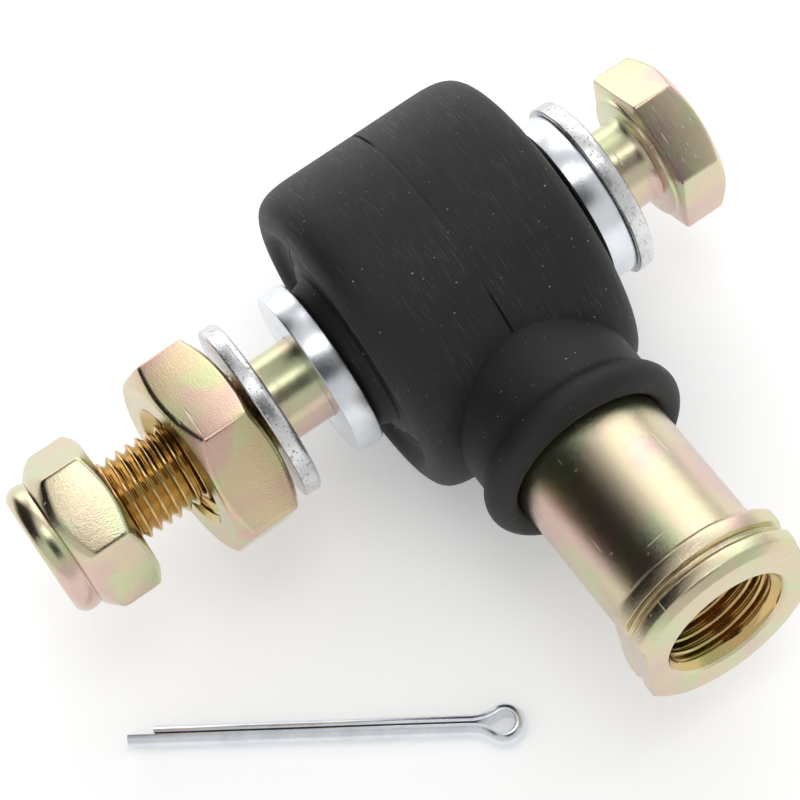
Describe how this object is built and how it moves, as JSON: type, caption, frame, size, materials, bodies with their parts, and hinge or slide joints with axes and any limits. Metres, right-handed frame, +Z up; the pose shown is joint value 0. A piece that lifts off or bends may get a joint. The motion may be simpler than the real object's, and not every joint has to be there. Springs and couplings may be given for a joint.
{
  "type": "tie rod end",
  "caption": "Female rod end in a rubber boot on a loose through bolt with spacers, washers, a jam nut and a lock nut, and a separate split pin.",
  "frame": {"origin": "centre of the ball, on the bolt axis and the shank axis", "axes": "+X along the bolt to its head, -Y along the shank out of the threaded mouth, +Z up"},
  "size_m": [0.0884, 0.0708, 0.0384],
  "materials": {
    "yellow_zinc": "yellow passivated zinc plate with a faint pink and green sheen",
    "bright_zinc": "bright bluish zinc plate",
    "dull_zinc": "dull stamped zinc plate with rough edges",
    "black_rubber": "moulded black rubber, satin, with fine scuffs",
    "ball_steel": "ground and polished bearing steel",
    "race_bronze": "plain sintered bronze",
    "nylon": "natural nylon"
  },
  "bodies": {
    "housing": {"rod_end_body": "yellow_zinc", "boot_shell": "black_rubber"},
    "race": {"race_half_head_side": "race_bronze", "race_half_nut_side": "race_bronze"},
    "ball": {"ball": "ball_steel", "spacer_head_side": "bright_zinc", "spacer_nut_side": "bright_zinc", "head_washer": "dull_zinc", "boot_cuff_head_side": "black_rubber", "boot_cuff_nut_side": "black_rubber"},
    "bolt": {"hex_bolt": "yellow_zinc"},
    "arm_washer": {"arm_washer": "dull_zinc"},
    "jam_nut": {"jam_nut": "yellow_zinc"},
    "nut_ring": {"nylon_ring": "nylon"},
    "lock_nut": {"lock_nut": "yellow_zinc"},
    "split_pin": {"split_pin": "bright_zinc"}
  },
  "joints": [
    {"name": "ball_swivel", "type": "hinge", "parent": "housing", "child": "race", "pos_m": [0, 0, 0], "axis": [1, 0, 0], "continuous": true},
    {"name": "ball_tilt", "type": "hinge", "parent": "race", "child": "ball", "pos_m": [0, 0, 0], "axis": [0, 0, 1], "range_deg": [-10, 10], "deforming": ["boot_cuff_head_side", "boot_cuff_nut_side"]},
    {"name": "bolt_slide", "type": "slide", "parent": "ball", "child": "bolt", "axis": [1, 0, 0], "range_m": [-0.0047, 0.002]},
    {"name": "arm_washer_slide", "type": "slide", "parent": "bolt", "child": "arm_washer", "axis": [1, 0, 0], "range_m": [-0.0025, 0.0031]},
    {"name": "jam_nut_slide", "type": "slide", "parent": "arm_washer", "child": "jam_nut", "axis": [1, 0, 0], "range_m": [-0.0026, 0.0002]},
    {"name": "lock_nut_run", "type": "slide", "parent": "bolt", "child": "nut_ring", "axis": [-1, 0, 0], "range_m": [0, 0.008]},
    {"name": "lock_nut_turn", "type": "hinge", "parent": "nut_ring", "child": "lock_nut", "pos_m": [-0.0479, 0, 0], "axis": [-1, 0, 0], "range_deg": [0, 2300]},
    {"name": "split_pin_away", "type": "slide", "parent": "housing", "child": "split_pin", "axis": [0, -1, 0], "range_m": [0, 0.03]}
  ],
  "couplings": [
    {"joint": "lock_nut_run", "follows": "lock_nut_turn", "m_per_rad": 0.00019894}
  ]
}
